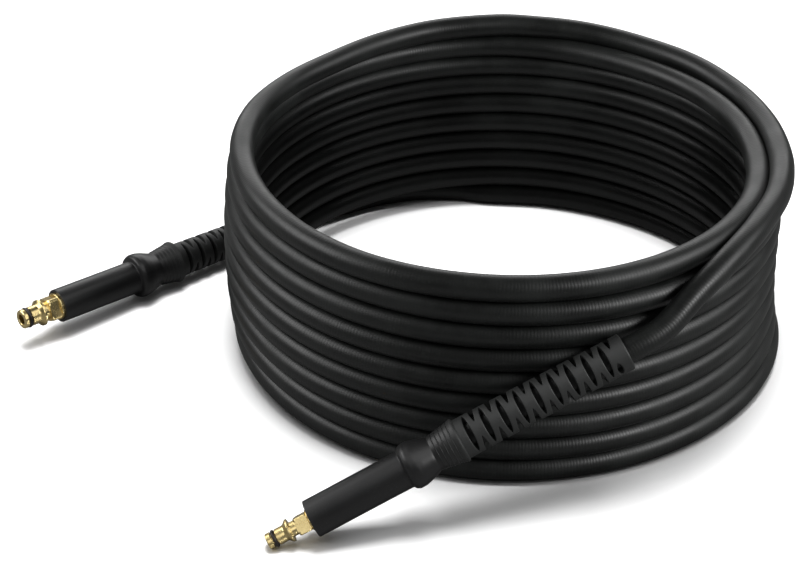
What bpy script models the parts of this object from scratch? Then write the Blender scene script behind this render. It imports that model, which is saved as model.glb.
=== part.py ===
# Coiled rubber pressure washer hose with a brass plug and a moulded bend protector on each end.
# The coil stands on the floor round the Z axis. Lengths are in metres, angles in degrees.
from math import asin, cos, degrees, pi, radians, sin

import bmesh
import bpy
import numpy as np
from mathutils import Euler, Vector

COLLECTION_NAME = "pressure_washer_hose"
CUTTER_COLLECTION_NAME = "cutters"

# Clearances
GAP = 0.0003
MERGE = 0.00001

# Hose and coil
HOSE_DIAMETER = 0.0145
COIL_RADIUS = 0.1586
TURNS = 10
TURN_SQUEEZE = 0.00025
COIL_STEPS = 36
SCALLOP_SEGMENTS = 4
LEAD_SPACING = 0.030

# Bend protector, stations from the mouth of its sleeve
PROTECTOR_LENGTH = 0.1880
SLEEVE_DIAMETER = 0.0211
SLEEVE_BORE = 0.0179
SLEEVE_BORE_DEPTH = 0.048
FIRST_BULGE_DIAMETER = 0.0266
FIRST_BULGE_START = 0.0561
FIRST_BULGE_LENGTH = 0.0140
BULGE_RAMP = 0.0030
WAIST_DIAMETER = 0.0196
SECOND_BULGE_DIAMETER = 0.0245
SECOND_BULGE_END = 0.0874
SECOND_BULGE_LENGTH = 0.0060
WAIST_RINGS = 3
SLOTTED_START_DIAMETER = 0.0222
COLLAR_DIAMETER = 0.0207
COLLAR_LENGTH = 0.0117
EDGE_ROUND = 0.0008

# Slots of the protector's flexible part
SLOT_PITCH = 0.0050
SLOT_WIDTH = 0.0030
SLOT_BRIDGE = 0.0086
FIRST_SLOT_FROM_BULGE = 0.0080
LAST_SLOT_FROM_END = 0.0080

# Crimped ferrule inside the sleeve
FERRULE_START = 0.0030
FERRULE_LENGTH = 0.0400
FERRULE_LIP = 0.0025
HOSE_END = 0.0090
TURNED_STEPS = 20
SEAL_SEGMENTS = 10
LEAN_PASSES = 12

# Plugs: stations run from the tip towards the sleeve's mouth
FRONT_PLUG = {
    "length": 0.0259,
    "tip_diameter": 0.0090,
    "bore_diameter": 0.0048,
    "groove_start": 0.0028,
    "groove_width": 0.0030,
    "ring_thickness": 0.0019,
    "ring_proud": 0.0004,
    "stem_length": 0.0049,
    "flange_diameter": 0.0130,
    "flange_length": 0.0032,
    "flange_rim": 0.0010,
    "neck_diameter": 0.0082,
    "neck_length": 0.0034,
    "wrench_flats": 0.0096,
    "wrench_diameter": 0.0129,
    "wrench_length": 0.0074,
    "collar_diameter": 0.0122,
    "shank_diameter": 0.0090,
}
REAR_PLUG = {
    "length": 0.0259,
    "tip_diameter": 0.0120,
    "bore_diameter": 0.0067,
    "groove_start": 0.0024,
    "groove_width": 0.0030,
    "ring_thickness": 0.0020,
    "ring_proud": 0.0005,
    "stem_length": 0.0053,
    "flange_diameter": 0.0166,
    "flange_length": 0.0032,
    "flange_rim": 0.0014,
    "neck_diameter": 0.0112,
    "neck_length": 0.0034,
    "wrench_flats": 0.0136,
    "wrench_diameter": 0.0176,
    "wrench_length": 0.0070,
    "collar_diameter": 0.0172,
    "shank_diameter": 0.0110,
}
TIP_CHAMFER = 0.0005

# Where the ends lie: angle round the coil, height of the axis and heading of the fitting
FRONT_END_ANGLE = -71.0
FRONT_END_HEIGHT = 0.0917
FRONT_HEADING = 15.0
FRONT_SLOT_TURN = -124.0
FRONT_WRENCH_TURN = -32.0
REAR_END_ANGLE = 139.7
REAR_END_HEIGHT = 0.0120
REAR_HEADING = 42.5
REAR_RISE = 2.5
REAR_SLOT_TURN = -118.0
REAR_WRENCH_TURN = -20.0

# Route of the hose outside the coil: angle, places out from the coil's wall, height in turns
FRONT_LEAD_ROUTE = [
    (-64.0, 1.33, 6.57),
    (-57.0, 1.06, 7.40),
    (-50.0, 0.88, 7.94),
    (-43.0, 0.71, 8.23),
    (-35.0, 0.52, 8.33),
    (-22.0, 0.40, 8.30),
    (-11.0, 0.36, 8.30),
    (0.0, 0.38, 8.24),
    (12.0, 0.48, 8.26),
    (25.0, 0.57, 8.36),
    (40.0, 0.59, 8.54),
    (55.0, 0.48, 8.65),
    (68.0, 0.32, 8.82),
    (80.0, 0.12, 8.92),
]
REAR_LEAD_ROUTE = [
    (127.0, 1.08, 0.03),
    (118.0, 0.98, 0.02),
    (108.0, 0.80, 0.02),
    (98.0, 0.40, 0.02),
]

HOSE_RADIUS = HOSE_DIAMETER / 2
BORE_RADIUS = HOSE_RADIUS + GAP
COIL_WALL = COIL_RADIUS + HOSE_RADIUS
TURN_PITCH = HOSE_DIAMETER - TURN_SQUEEZE
GROOVE_ANGLE = asin(TURN_PITCH / HOSE_DIAMETER)

RUBBER = ("hose_rubber", (0.020, 0.021, 0.020), 0.48, 0.0)
MOULDED = ("moulded_black", (0.014, 0.014, 0.015), 0.42, 0.0)
BRASS = ("machined_brass", (0.80, 0.58, 0.25), 0.22, 1.0)
SEAL = ("seal_rubber", (0.025, 0.020, 0.018), 0.50, 0.0)


def clear_scene():
    for item in list(bpy.data.objects):
        bpy.data.objects.remove(item, do_unlink=True)


def new_collection(name):
    collection = bpy.data.collections.new(name)
    bpy.context.scene.collection.children.link(collection)
    return collection


def make_material(name, colour, roughness, metallic):
    material = bpy.data.materials.get(name) or bpy.data.materials.new(name)
    material.use_nodes = True
    shader = material.node_tree.nodes["Principled BSDF"]
    shader.inputs["Base Color"].default_value = (*colour, 1.0)
    shader.inputs["Roughness"].default_value = roughness
    shader.inputs["Metallic"].default_value = metallic
    return material


def add_object(name, data, collection, look=None, parent=None):
    item = bpy.data.objects.new(name, data)
    collection.objects.link(item)
    item.parent = parent
    if look:
        data.materials.append(make_material(*look))
    return item


def turned(name, profile, collection, look=None, parent=None, steps=TURNED_STEPS):
    """Closed outline of (radius, height) points, turned once round Z by a Screw modifier."""
    mesh = bpy.data.meshes.new(name)
    count = len(profile)
    edges = [(i, (i + 1) % count) for i in range(count)]
    mesh.from_pydata([(r, 0.0, z) for r, z in profile], edges, [])
    item = add_object(name, mesh, collection, look, parent)
    screw = item.modifiers.new("Turn", "SCREW")
    screw.axis = "Z"
    screw.angle = 2 * pi
    screw.steps = steps
    screw.render_steps = steps
    screw.use_merge_vertices = True
    screw.merge_threshold = MERGE
    screw.use_smooth_shade = True
    return item


def boxes(name, placed, collection, parent):
    """One cutter mesh of separate boxes, each given by its matrix on a unit cube."""
    mesh = bpy.data.meshes.new(name)
    bm = bmesh.new()
    for matrix in placed:
        bmesh.ops.create_cube(bm, size=1.0, matrix=matrix)
    bm.to_mesh(mesh)
    bm.free()
    cutter = add_object(name, mesh, collection, parent=parent)
    hide_cutter(cutter)
    return cutter


def hide_cutter(cutter):
    cutter.hide_render = True
    cutter.display_type = "WIRE"


def subtract(item, cutter):
    cut = item.modifiers.new("Cut", "BOOLEAN")
    cut.operation = "DIFFERENCE"
    cut.solver = "EXACT"
    cut.object = cutter


def box_matrix(turn, centre, size):
    """Box of the given size about a centre in local axes that are turned round Z."""
    rotation = Euler((0.0, 0.0, radians(turn))).to_matrix().to_4x4()
    matrix = rotation.copy()
    matrix.translation = rotation @ Vector(centre)
    for axis in range(3):
        for row in range(3):
            matrix[row][axis] *= size[axis]
    return matrix


def turn_height(turn):
    """Height of the middle of a turn, counted from 0 at the floor."""
    return TURN_PITCH * (turn + 0.5)


def turn_arc(side, turn):
    """Points of one turn's round edge from groove to groove, down the outside, up the inside."""
    angles = np.linspace(GROOVE_ANGLE, -GROOVE_ANGLE, SCALLOP_SEGMENTS + 1) * side
    radii = COIL_RADIUS + side * HOSE_RADIUS * np.cos(angles)
    heights = turn_height(turn) + HOSE_RADIUS * np.sin(angles)
    return [(float(r), float(z)) for r, z in zip(radii, heights)]


def coil_outline():
    """Stack of round turns, scalloped outside and inside, with a narrow flat to rest on."""
    outside = [p for turn in reversed(range(TURNS)) for p in turn_arc(1, turn)[:-1]]
    inside = [p for turn in range(TURNS) for p in turn_arc(-1, turn)[:-1]]
    return outside + turn_arc(1, 0)[-1:] + inside + turn_arc(-1, TURNS - 1)[-1:]


def lead_point(angle, places, turn):
    """Route point beside the coil: places are hose diameters out from the middle of its turns."""
    radius = COIL_RADIUS + places * HOSE_DIAMETER
    return Vector((radius * cos(radians(angle)), radius * sin(radians(angle)), turn_height(turn)))


def smooth_points(points, direction, spacing):
    """Catmull-Rom curve that leaves the first point in a direction, read off at a spacing."""
    before = points[1] - direction * 2 * (points[1] - points[0]).length
    ends = [before, *points, points[-1] * 2 - points[-2]]
    result = [points[0]]
    for before, start, end, after in zip(ends, ends[1:], ends[2:], ends[3:]):
        steps = max(1, round((end - start).length / spacing))
        for i in range(1, steps + 1):
            t = i / steps
            bend = 2 * before - 5 * start + 4 * end - after
            twist = 3 * start - before - 3 * end + after
            result.append(start + (end - before) * t / 2 + bend * t * t / 2 + twist * t ** 3 / 2)
    return result


def hose_tube(name, points, collection):
    """Round tube along a polyline, made a mesh with its caps welded."""
    curve = bpy.data.curves.new(name, "CURVE")
    curve.dimensions = "3D"
    curve.bevel_depth = HOSE_RADIUS
    curve.bevel_resolution = 3
    curve.use_fill_caps = True
    spline = curve.splines.new("POLY")
    spline.points.add(len(points) - 1)
    for spot, place in zip(spline.points, points):
        spot.co = (*place, 1.0)
    guide = add_object(name + "_curve", curve, collection)
    bpy.context.view_layer.update()
    graph = bpy.context.evaluated_depsgraph_get()
    mesh = bpy.data.meshes.new_from_object(guide.evaluated_get(graph))
    bpy.data.objects.remove(guide, do_unlink=True)
    bm = bmesh.new()
    bm.from_mesh(mesh)
    bmesh.ops.remove_doubles(bm, verts=bm.verts, dist=MERGE)
    bm.to_mesh(mesh)
    bm.free()
    mesh.shade_smooth()
    return add_object(name, mesh, collection, RUBBER)


def fitting_axis(heading, rise):
    """Unit vector from the sleeve's mouth to the protector's far end."""
    flat = cos(radians(rise))
    return Vector((flat * cos(radians(heading)), flat * sin(radians(heading)), sin(radians(rise))))


def end_place(angle, height, heading):
    """Middle of the protector's far end, so that the fitting passes just outside the coil."""
    thickest = max(SLOTTED_START_DIAMETER, COLLAR_DIAMETER) / 2
    radius = (COIL_WALL + thickest + GAP) / abs(sin(radians(heading - angle)))
    return Vector((radius * cos(radians(angle)), radius * sin(radians(angle)), height))


def lean_angle(height, plug):
    """Rise that sets the plug's tip, or else the sleeve's mouth, on the floor below the far end."""
    rise = 0.0
    for _ in range(LEAN_PASSES):
        tip_height = plug["tip_diameter"] / 2 * cos(rise) + GAP
        mouth_height = SLEEVE_DIAMETER / 2 * cos(rise) + GAP
        tip_rise = (height - tip_height) / (PROTECTOR_LENGTH + plug["length"])
        mouth_rise = (height - mouth_height) / PROTECTOR_LENGTH
        rise = asin(min(tip_rise, mouth_rise))
    return degrees(rise)


def fitting_frame(name, end, heading, rise, collection):
    """Empty at the sleeve's mouth whose Z runs along the fitting to the coil."""
    empty = bpy.data.objects.new(name, None)
    collection.objects.link(empty)
    empty.location = end - fitting_axis(heading, rise) * PROTECTOR_LENGTH
    empty.rotation_euler = Euler((0.0, radians(90 - rise), radians(heading)))
    return empty


def waist_steps(waist, second, low, high):
    """Stepped rings, top to bottom, that rise from the waist to the second bulge."""
    points = []
    for i in reversed(range(WAIST_RINGS + 1)):
        radius = waist + (second - waist) * i / (WAIST_RINGS + 1)
        start = low + (high - low) * i / (WAIST_RINGS + 1)
        end = low + (high - low) * (i + 1) / (WAIST_RINGS + 1)
        points += [(radius, end), (radius, start)]
    return points


def protector_outline():
    """Sleeve, two bulges with a ringed waist between them, slotted part and end collar."""
    sleeve = SLEEVE_DIAMETER / 2
    first = FIRST_BULGE_DIAMETER / 2
    waist = WAIST_DIAMETER / 2
    second = SECOND_BULGE_DIAMETER / 2
    slotted = SLOTTED_START_DIAMETER / 2
    collar = COLLAR_DIAMETER / 2
    bore = SLEEVE_BORE / 2
    first_end = FIRST_BULGE_START + FIRST_BULGE_LENGTH
    second_start = SECOND_BULGE_END - SECOND_BULGE_LENGTH
    top_down = [
        (BORE_RADIUS, PROTECTOR_LENGTH),
        (collar - EDGE_ROUND, PROTECTOR_LENGTH),
        (collar, PROTECTOR_LENGTH - EDGE_ROUND),
        (collar, PROTECTOR_LENGTH - COLLAR_LENGTH),
        (slotted, SECOND_BULGE_END + EDGE_ROUND),
        (second - EDGE_ROUND, SECOND_BULGE_END + EDGE_ROUND),
        (second, SECOND_BULGE_END),
        (second, second_start),
        *waist_steps(waist, second, first_end + BULGE_RAMP, second_start),
        (first - EDGE_ROUND, first_end),
        (first, first_end - EDGE_ROUND * 2),
        (first, FIRST_BULGE_START + BULGE_RAMP),
        (first - EDGE_ROUND, FIRST_BULGE_START + BULGE_RAMP / 2),
        (sleeve, FIRST_BULGE_START),
        (sleeve, EDGE_ROUND),
        (sleeve - EDGE_ROUND, 0.0),
        (bore, 0.0),
        (bore, SLEEVE_BORE_DEPTH),
        (BORE_RADIUS, SLEEVE_BORE_DEPTH + (bore - BORE_RADIUS)),
    ]
    return top_down


def slot_matrices(slot_turn):
    """Rows of opposite slots, each row turned a quarter from the one before."""
    first = SECOND_BULGE_END + FIRST_SLOT_FROM_BULGE
    last = PROTECTOR_LENGTH - LAST_SLOT_FROM_END
    rows = round((last - first) / SLOT_PITCH) + 1
    reach = SECOND_BULGE_DIAMETER / 2
    placed = []
    for row in range(rows):
        for side in (0, 180):
            turn = slot_turn + 90 * (row % 2) + side
            centre = (SLOT_BRIDGE / 2 + reach / 2, 0.0, first + SLOT_PITCH * row)
            placed.append(box_matrix(turn, centre, (reach, 2 * reach, SLOT_WIDTH)))
    return placed


def make_protector(name, frame, slot_turn, parts, cutters):
    item = turned(name, protector_outline(), parts, MOULDED, frame)
    subtract(item, boxes(name + "_slots", slot_matrices(slot_turn), cutters, frame))
    return item


def plug_outline(plug):
    """Bored plug: grooved tip, stem, ramped flange, neck, wrench section, collar and shank."""
    tip = plug["tip_diameter"] / 2
    bore = plug["bore_diameter"] / 2
    flange = plug["flange_diameter"] / 2
    neck = plug["neck_diameter"] / 2
    wrench = plug["wrench_diameter"] / 2
    collar = plug["collar_diameter"] / 2
    shank = plug["shank_diameter"] / 2
    groove = tip + plug["ring_proud"] - plug["ring_thickness"] - GAP
    base = -plug["length"]
    groove_start = base + plug["groove_start"]
    groove_end = groove_start + plug["groove_width"]
    flange_start = groove_end + plug["stem_length"]
    flange_end = flange_start + plug["flange_length"]
    wrench_start = flange_end + plug["neck_length"]
    wrench_end = wrench_start + plug["wrench_length"]
    shank_start = FERRULE_START - GAP
    shank_end = HOSE_END - GAP
    return [
        (bore, shank_end),
        (shank, shank_end),
        (shank, shank_start),
        (collar, shank_start),
        (collar, wrench_end),
        (wrench - TIP_CHAMFER, wrench_end),
        (wrench, wrench_end - TIP_CHAMFER),
        (wrench, wrench_start + 2 * TIP_CHAMFER),
        (wrench - 2 * TIP_CHAMFER, wrench_start),
        (neck, wrench_start),
        (neck, flange_end),
        (flange, flange_end),
        (flange, flange_end - plug["flange_rim"]),
        (tip, flange_start),
        (tip, groove_end),
        (groove, groove_end),
        (groove, groove_start),
        (tip, groove_start),
        (tip, base + TIP_CHAMFER),
        (tip - TIP_CHAMFER, base),
        (bore, base),
    ]


def wrench_matrices(plug, wrench_turn):
    """Four boxes that leave flats on the plug's wrench section."""
    end = -plug["length"] + plug["groove_start"] + plug["groove_width"] + plug["stem_length"]
    start = end + plug["flange_length"] + plug["neck_length"]
    deep = plug["wrench_diameter"]
    placed = []
    for side in range(4):
        centre = (plug["wrench_flats"] / 2 + deep / 2, 0.0, start + plug["wrench_length"] / 2)
        size = (deep, 2 * deep, plug["wrench_length"] + GAP)
        placed.append(box_matrix(wrench_turn + 90 * side, centre, size))
    return placed


def make_plug(name, plug, frame, wrench_turn, parts, cutters):
    item = turned(name, plug_outline(plug), parts, BRASS, frame)
    cutter_names = [name + "_flats_a", name + "_flats_b"]
    placed = wrench_matrices(plug, wrench_turn)
    for cutter_name, pair in zip(cutter_names, (placed[0::2], placed[1::2])):
        subtract(item, boxes(cutter_name, pair, cutters, frame))
    return item


def make_ring(name, plug, frame, parts):
    """Rubber seal in the plug's groove: a round section turned round the axis."""
    thick = plug["ring_thickness"] / 2
    middle = plug["tip_diameter"] / 2 + plug["ring_proud"] - thick
    height = -plug["length"] + plug["groove_start"] + plug["groove_width"] / 2
    angles = [-2 * pi * i / SEAL_SEGMENTS for i in range(SEAL_SEGMENTS)]
    outline = [(middle + thick * cos(a), height + thick * sin(a)) for a in angles]
    return turned(name, outline, parts, SEAL, frame)


def make_ferrule(name, plug, frame, parts):
    """Brass cup crimped over the hose end, with the plug's shank through its front lip."""
    outer = SLEEVE_BORE / 2 - GAP
    hole = plug["shank_diameter"] / 2 + GAP
    end = FERRULE_START + FERRULE_LENGTH
    outline = [
        (BORE_RADIUS, end),
        (outer, end),
        (outer, FERRULE_START),
        (hole, FERRULE_START),
        (hole, FERRULE_START + FERRULE_LIP),
        (BORE_RADIUS, FERRULE_START + FERRULE_LIP),
    ]
    return turned(name, outline, parts, BRASS, frame)


def make_fitting(end_name, plug, frame, slot_turn, wrench_turn, parts, cutters):
    make_protector("bend_protector_" + end_name, frame, slot_turn, parts, cutters)
    make_plug("plug_" + end_name, plug, frame, wrench_turn, parts, cutters)
    make_ring("o_ring_" + end_name, plug, frame, parts)
    make_ferrule("ferrule_" + end_name, plug, frame, parts)


def make_lead(name, end, axis, route, parts, cutter):
    """Hose from inside the ferrule, out of the protector and along its route to the coil."""
    inside = end - axis * (PROTECTOR_LENGTH - HOSE_END)
    clear_end = end + axis * HOSE_DIAMETER / 4
    places = [clear_end, *[lead_point(*spot) for spot in route]]
    item = hose_tube(name, [inside, *smooth_points(places, axis, LEAD_SPACING)], parts)
    subtract(item, cutter)
    return item


def coil_envelope(cutters):
    """Plain turned ring just proud of the coil, which trims the leads where they join it."""
    outer = COIL_WALL + GAP
    inner = COIL_RADIUS - HOSE_DIAMETER
    low = -HOSE_DIAMETER
    high = TURNS * HOSE_DIAMETER * 2
    outline = [(inner, high), (outer, high), (outer, low), (inner, low)]
    cutter = turned("coil_envelope", outline, cutters, steps=COIL_STEPS)
    hide_cutter(cutter)
    return cutter


def centre_on_floor(parts, anchor):
    """Moves the anchor so that the middle of the whole object's box is over the origin."""
    bpy.context.view_layer.update()
    graph = bpy.context.evaluated_depsgraph_get()
    corners = []
    for item in parts.objects:
        if item.type == "MESH":
            solid = item.evaluated_get(graph)
            mesh = solid.to_mesh()
            points = np.empty(len(mesh.vertices) * 3)
            mesh.vertices.foreach_get("co", points)
            matrix = np.array(item.matrix_world)
            places = points.reshape(-1, 3) @ matrix[:3, :3].T + matrix[:3, 3]
            corners += [places.min(axis=0), places.max(axis=0)]
            solid.to_mesh_clear()
    low, high = np.min(corners, axis=0), np.max(corners, axis=0)
    anchor.location = (-(low[0] + high[0]) / 2, -(low[1] + high[1]) / 2, -low[2])


def main():
    clear_scene()
    parts = new_collection(COLLECTION_NAME)
    cutters = new_collection(CUTTER_COLLECTION_NAME)
    anchor = bpy.data.objects.new("hose_anchor", None)
    parts.objects.link(anchor)
    turned("hose_coil", coil_outline(), parts, RUBBER, steps=COIL_STEPS)
    envelope = coil_envelope(cutters)

    front_end = end_place(FRONT_END_ANGLE, FRONT_END_HEIGHT, FRONT_HEADING)
    front_rise = lean_angle(FRONT_END_HEIGHT, FRONT_PLUG)
    front = fitting_frame("front_mouth", front_end, FRONT_HEADING, front_rise, parts)
    make_fitting("front", FRONT_PLUG, front, FRONT_SLOT_TURN, FRONT_WRENCH_TURN, parts, cutters)
    front_axis = fitting_axis(FRONT_HEADING, front_rise)
    make_lead("hose_lead_front", front_end, front_axis, FRONT_LEAD_ROUTE, parts, envelope)

    rear_end = end_place(REAR_END_ANGLE, REAR_END_HEIGHT, REAR_HEADING)
    rear = fitting_frame("rear_mouth", rear_end, REAR_HEADING, -REAR_RISE, parts)
    make_fitting("rear", REAR_PLUG, rear, REAR_SLOT_TURN, REAR_WRENCH_TURN, parts, cutters)
    rear_axis = fitting_axis(REAR_HEADING, -REAR_RISE)
    make_lead("hose_lead_rear", rear_end, rear_axis, REAR_LEAD_ROUTE, parts, envelope)

    for item in [*parts.objects, *cutters.objects]:
        if item.parent is None and item is not anchor:
            item.parent = anchor
    centre_on_floor(parts, anchor)


main()
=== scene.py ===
# Looks of a coiled rubber pressure washer hose with a brass plug and a bend protector on each end.
# Lengths are in metres and angles in degrees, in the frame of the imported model.
from math import acos, asin, cos, degrees, pi, radians, sin

import bmesh
import bpy
import numpy as np
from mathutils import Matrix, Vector


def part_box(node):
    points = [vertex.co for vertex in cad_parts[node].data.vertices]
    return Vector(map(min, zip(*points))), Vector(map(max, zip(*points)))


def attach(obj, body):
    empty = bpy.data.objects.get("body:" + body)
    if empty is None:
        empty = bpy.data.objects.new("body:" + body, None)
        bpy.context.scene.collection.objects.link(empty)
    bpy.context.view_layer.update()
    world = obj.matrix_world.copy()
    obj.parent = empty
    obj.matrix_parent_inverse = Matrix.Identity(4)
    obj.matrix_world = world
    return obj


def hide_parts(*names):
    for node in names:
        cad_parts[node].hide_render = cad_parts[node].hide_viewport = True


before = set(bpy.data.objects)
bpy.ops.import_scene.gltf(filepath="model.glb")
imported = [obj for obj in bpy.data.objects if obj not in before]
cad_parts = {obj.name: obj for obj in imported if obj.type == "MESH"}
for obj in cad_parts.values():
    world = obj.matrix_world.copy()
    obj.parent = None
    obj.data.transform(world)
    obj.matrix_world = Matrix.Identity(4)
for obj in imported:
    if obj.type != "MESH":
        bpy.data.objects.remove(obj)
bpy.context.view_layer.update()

# Camera, placed from the middle of the coil's foot, in hose diameters
CAMERA_PLACE = (-4.0117, -64.8725, 42.1622)
CAMERA_PITCH = 31.845
LENS = 78.57

# Hose and coil
HOSE = 0.0145
HOSE_SIDES = 28
RING_SPACING = 0.0032
COIL_RADIUS = 0.1586
TURN_PITCH = 0.01425
COILED_TURNS = 9
POINTS_PER_TURN = 24
GAP = 0.0003

# Heights of the turns, in hose diameters, from the top turn down
TOP_AT_BACK = 9.32
DROP_AT_BACK = 0.978
TOP_AT_FRONT = 9.101
DROP_AT_FRONT = 1.0119
ON_FLOOR = 0.505

# How far the turns sway out at the left and right, in diameters, by powers of their order
LEFT_SWAY = (-0.24, 0.19, -0.0203)
FIRST_RIGHT_SWAY = 0.05
LOWEST_RIGHT_SWAY = 0.6

# Where the top turn leaves its circle: turn, spread in turns, way out and sinking, in diameters
TOP_BENDS = [
    (0.125, 0.065, -0.40, 0.11),
    (0.410, 0.070, 0.16, 0.0),
    (0.720, 0.125, -0.54, 0.0),
    (0.736, 0.062, 0.0, 0.19),
    (0.885, 0.085, -0.31, 0.035),
]

# Bend protector, stations from the mouth of its sleeve
PROTECTOR = 0.1880
SLEEVE = 0.0211
SLEEVE_BORE = 0.0179
SLEEVE_BORE_DEPTH = 0.048
FIRST_BULGE = 0.0260
FIRST_BULGE_START = 0.0561
FIRST_BULGE_END = 0.0722
WAIST = 0.0192
WAIST_CLIMB = 0.55
WAIST_STOUT = 0.8
SECOND_BULGE = 0.0248
SECOND_BULGE_START = 0.0858
SECOND_BULGE_END = 0.0890
WAIST_RINGS = 5
RING_TOOTH = 0.0008
SLOTTED_START = 0.0222
COLLAR = 0.0207
COLLAR_LENGTH = 0.0117
PROTECTOR_SIDES = 128

# Slots of the protector's flexible part
SLOT_PITCH = 0.0050
SLOT_WIDTH = 0.0030
SLOT_BRIDGE = 0.0086
SLOT_EDGE = 0.00045
SLOT_FULLNESS = 0.7
FIRST_SLOT = 0.0954
SLOT_ROWS = 18
LAST_SLOT_REACH = 25.0
LAST_SLOT_TO_COLLAR = 0.0020

# Crimped cup inside the sleeve
CUP_START = 0.0030
CUP_LENGTH = 0.0400
CUP_LIP = 0.0025
CUP_CRIMPS = 6
CRIMPS_START = 0.006
CRIMPS_LENGTH = 0.030
CRIMP_DEPTH = 0.0004
CRIMP_EASE = 0.0008
HOSE_END = 0.0090

# Plugs: stations run from the tip towards the sleeve's mouth
FRONT_PLUG = dict(length=0.0259, tip=0.0090, bore=0.0048, groove_start=0.0028, groove_width=0.0030,
                  ring=0.0019, proud=0.0004, stem=0.0049, flange=0.0130, flange_length=0.0032,
                  rim=0.0010, neck=0.0082, neck_length=0.0034, flats=0.0096, wrench=0.0129,
                  wrench_length=0.0074, collar=0.0122, shank=0.0090)
REAR_PLUG = dict(length=0.0259, tip=0.0120, bore=0.0067, groove_start=0.0024, groove_width=0.0030,
                 ring=0.0020, proud=0.0005, stem=0.0053, flange=0.0166, flange_length=0.0032,
                 rim=0.0014, neck=0.0112, neck_length=0.0034, flats=0.0136, wrench=0.0176,
                 wrench_length=0.0070, collar=0.0172, shank=0.0110)
CHAMFER = 0.0005
FINE_EDGE = 0.00012
PLUG_SIDES = 96
CUP_SIDES = 64
SEAL_SIDES = 96
SEAL_STEPS = 24

# Floor and surroundings
FLOOR_HALF_WIDTH = 6.0
FLOOR_HEIGHT = -0.0001
FLOOR_WHITE = 0.93
FLOOR_BOUNCE = 0.23
FLOOR_MIRRORED = 0.12
WORLD_FILL = 0.08
FLAG_RADIUS = 0.120
FLAG_HEIGHT = 0.128
FLAG_SIDES = 64

# Softboxes: azimuth, elevation, distance, width and height, radiance, what it lights, what shades it
AIM_HEIGHT = 0.07
SOFTBOXES = [
    ("right_box", -36.0, 30.0, 1.5, (0.6, 0.34), 16.0, "part", "part_and_flag"),
    ("right_side", -4.0, 32.0, 1.5, (0.7, 0.75), 3.4, "part", "part_and_flag"),
    ("left_box", 180.0, 32.0, 1.5, (1.3, 0.75), 4.2, "part", "part_and_flag"),
    ("back_glow", 90.0, 26.0, 2.0, (2.6, 1.0), 2.5, "part", "part"),
    ("fittings_top", -60.0, 66.0, 1.2, (1.6, 1.0), 1.4, "fittings", "part"),
    ("brass_front", -95.0, 24.0, 1.2, (1.4, 0.6), 1.1, "brass", "part"),
    ("brass_floor", -30.0, -32.0, 1.2, (2.2, 0.9), 0.9, "brass", "part"),
    ("floor_key", 90.0, 89.0, 2.2, (0.95, 0.95), 25.0, "floor", "part"),
    ("floor_fill", 90.0, 89.0, 2.2, (3.4, 3.4), 1.7, "floor", "part"),
]

# Where the ends lie: angle round the coil, height of the axis and heading, then the turns of the
# slots and of the wrench flats, and what the bulges add to their radius in the photograph
FRONT_END = dict(angle=-71.0, height=0.0917, heading=15.0, slot_turn=-134.0, wrench_turn=-32.0,
                 stout=0.0)
REAR_END = dict(angle=139.7, height=0.0120, heading=42.5, slot_turn=-118.0, wrench_turn=-20.0,
                stout=0.0013)
REAR_RISE = -2.5

# Route of the hose outside the coil: angle, places out from the coil's wall, height in turns
FRONT_ROUTE = [
    (-64.0, 1.33, 6.57),
    (-57.0, 1.06, 7.40),
    (-50.0, 0.88, 7.94),
    (-43.0, 0.71, 8.23),
    (-35.0, 0.52, 8.33),
    (-22.0, 0.40, 8.30),
    (-11.0, 0.36, 8.30),
    (0.0, 0.38, 8.24),
    (12.0, 0.48, 8.26),
    (25.0, 0.57, 8.36),
    (40.0, 0.59, 8.54),
    (55.0, 0.48, 8.65),
    (68.0, 0.32, 8.82),
    (80.0, 0.12, 8.92),
]
REAR_ROUTE = [
    (127.0, 1.08, 0.03),
    (118.0, 0.98, 0.02),
    (108.0, 0.80, 0.02),
    (98.0, 0.40, 0.02),
]


def coil_foot():
    """Middle of the coil on the floor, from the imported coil's box."""
    low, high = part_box("hose_coil")
    return np.array([(low.x + high.x) / 2, (low.y + high.y) / 2, low.z])


FOOT = coil_foot()


def unit(vector):
    """Vectors along the last axis, scaled to length one."""
    return vector / np.linalg.norm(vector, axis=-1, keepdims=True)


# Meshes

def grid_quads(rows, sides, around_rows=False):
    """Corner numbers (row, side) of each quad of a grid that closes round its sides.

    The quad runs along the sides first and up the rows next, so it faces out where rows go up.
    """
    row = np.arange(rows if around_rows else rows - 1)[:, None]
    side = np.arange(sides)[None, :]
    corners = [(row, side), (row, side + 1), (row + 1, side + 1), (row + 1, side)]
    pairs = [np.broadcast_arrays(r, s) for r, s in corners]
    return np.stack([np.stack(p, axis=-1) for p in pairs], axis=2).reshape(-1, 4, 2)


def mesh_of_grid(name, points, run, around_rows=False, keep=None, caps=()):
    """Mesh of a grid of points (rows, sides, 3) with a UV map of turn fraction and run.

    The run is the distance down the rows, with one more value than rows where they close.
    A mask of quads to keep drops some, and caps are rows closed by one flat face each.
    """
    rows, sides = points.shape[:2]
    quads = grid_quads(rows, sides, around_rows)
    if keep is not None:
        quads = quads[keep.reshape(-1)]
    uv = np.stack([quads[..., 1] / sides, np.asarray(run)[quads[..., 0]]], axis=-1)
    numbers = (quads[..., 0] % rows) * sides + quads[..., 1] % sides
    loops = [numbers.reshape(-1)]
    places = [uv.reshape(-1, 2)]
    totals = [np.full(len(quads), 4)]
    for row, outward in caps:
        ring = row * sides + np.arange(sides)
        loops.append(ring if outward else ring[::-1])
        places.append(np.tile([0.5, run[row]], (sides, 1)))
        totals.append(np.array([sides]))
    return fill_mesh(name, points.reshape(-1, 3), *(np.concatenate(a) for a in (loops, totals, places)))


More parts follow.
